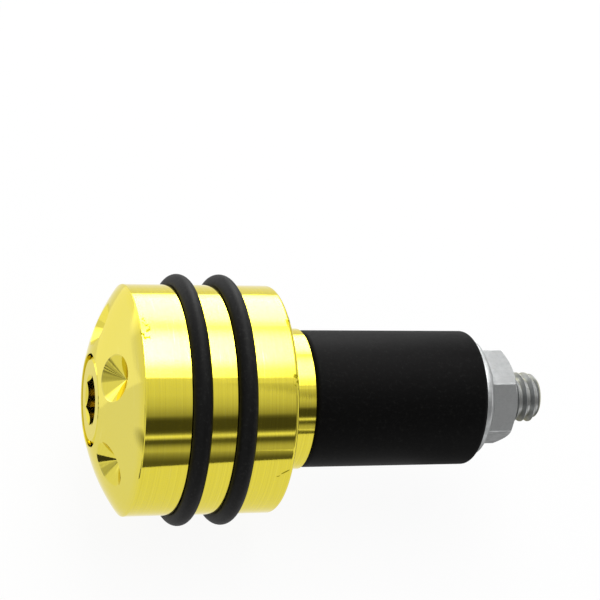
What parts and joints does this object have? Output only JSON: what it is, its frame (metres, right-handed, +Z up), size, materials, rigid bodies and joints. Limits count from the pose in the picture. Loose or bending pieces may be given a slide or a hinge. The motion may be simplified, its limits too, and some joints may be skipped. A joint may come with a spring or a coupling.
{
  "type": "handlebar end weight",
  "caption": "Domed, dimpled metal weight with rubber rings on its side and a rubber plug behind it that a central bolt squeezes until it grips inside a handlebar tube.",
  "frame": {"origin": "centre of the head's flat back face, on the axis, where the spigot leaves it", "axes": "+X along the axis from the dome towards the nut, into the handlebar; +Z up as the bar lies level"},
  "size_m": [0.054, 0.0284, 0.0284],
  "materials": {
    "gold_aluminium": "bright turned, gold anodised",
    "ring_rubber": "moulded, slight sheen",
    "plug_rubber": "matt",
    "plated_steel": "zinc plated",
    "bolt_steel": "plated, gold tinted at its head"
  },
  "bodies": {
    "weight": {"head": "gold_aluminium", "o_ring_front": "ring_rubber", "o_ring_rear": "ring_rubber", "rubber_sleeve": "plug_rubber"},
    "bolt": {"bolt": "bolt_steel"},
    "nut": {"nut": "plated_steel"}
  },
  "joints": [
    {"name": "bolt_turn", "type": "hinge", "parent": "weight", "child": "bolt", "pos_m": [0, 0, 0], "axis": [1, 0, 0], "range_deg": [0, 1080]},
    {"name": "nut_travel", "type": "slide", "parent": "weight", "child": "nut", "axis": [-1, 0, 0], "range_m": [0, 0.003], "deforming": ["rubber_sleeve"]}
  ],
  "couplings": [
    {"joint": "bolt_turn", "follows": "nut_travel", "rad_per_m": 6283.2}
  ]
}
